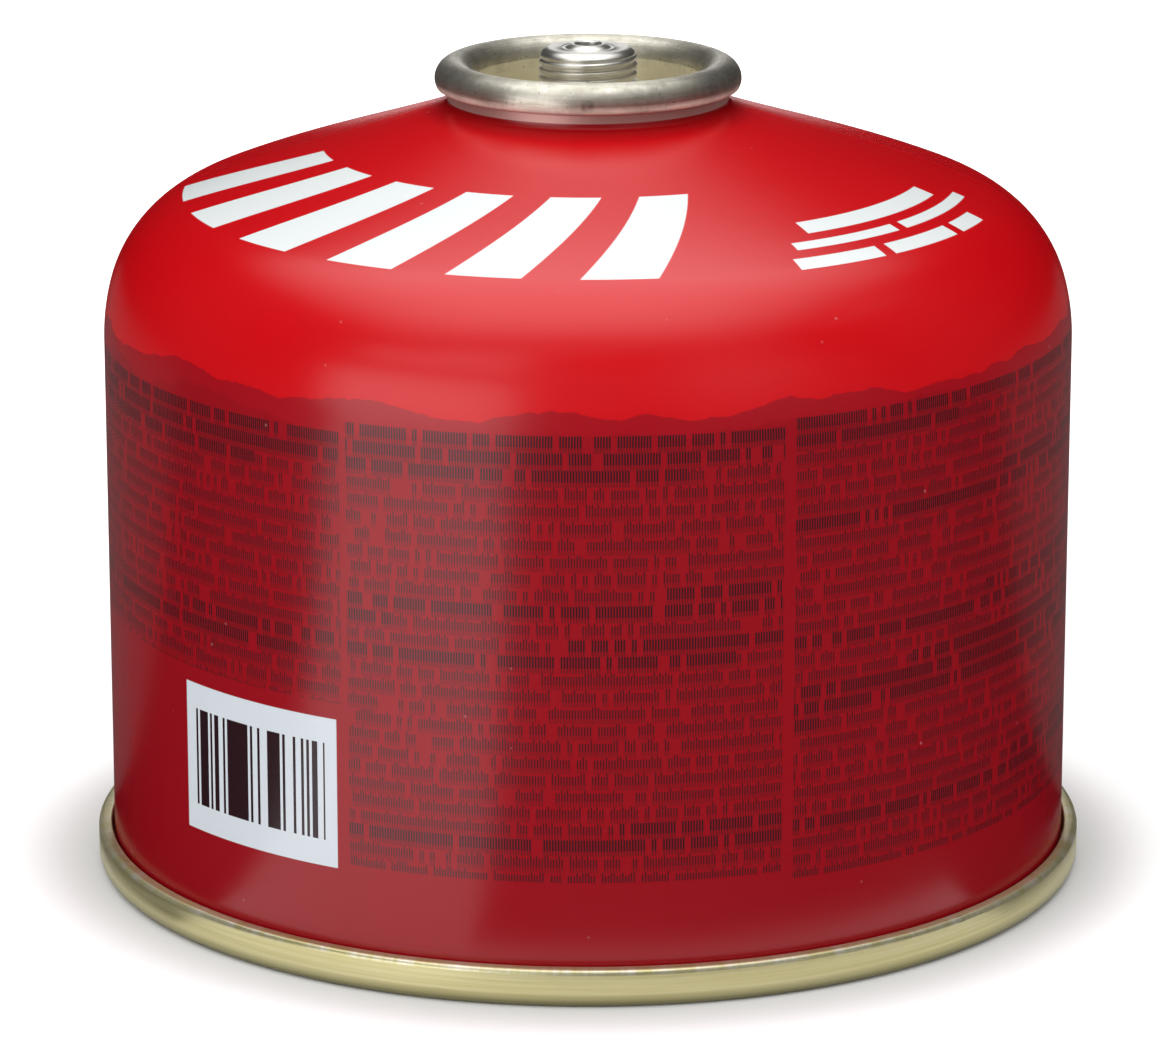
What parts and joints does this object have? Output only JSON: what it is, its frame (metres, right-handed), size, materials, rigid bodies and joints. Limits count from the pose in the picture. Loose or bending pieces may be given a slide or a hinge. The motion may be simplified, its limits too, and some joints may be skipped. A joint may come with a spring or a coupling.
{
  "type": "fuel canister",
  "caption": "Squat round gas canister with a domed shoulder, a seamed base end and a rolled-rim valve cup around a screw valve boss.",
  "frame": {"origin": "centre of the foot ring, on the plane that the can stands on", "axes": "+Z is the can's axis, from the base end up to the valve; +X is at the right of the picture and -Y faces the camera"},
  "size_m": [0.1116, 0.1116, 0.0928],
  "materials": {
    "body_lacquer": "red semi-gloss lacquer on drawn steel, printed",
    "end_lacquer": "pale gold lacquer on tinplate, semi-gloss",
    "tinplate": "bright tinplate with fine drawing lines and small pits",
    "seal_rubber": "matt black rubber"
  },
  "bodies": {
    "root": {"can_body": "body_lacquer", "base_end": "end_lacquer", "valve_cup": "tinplate", "stem_seal": "seal_rubber"}
  },
  "joints": []
}
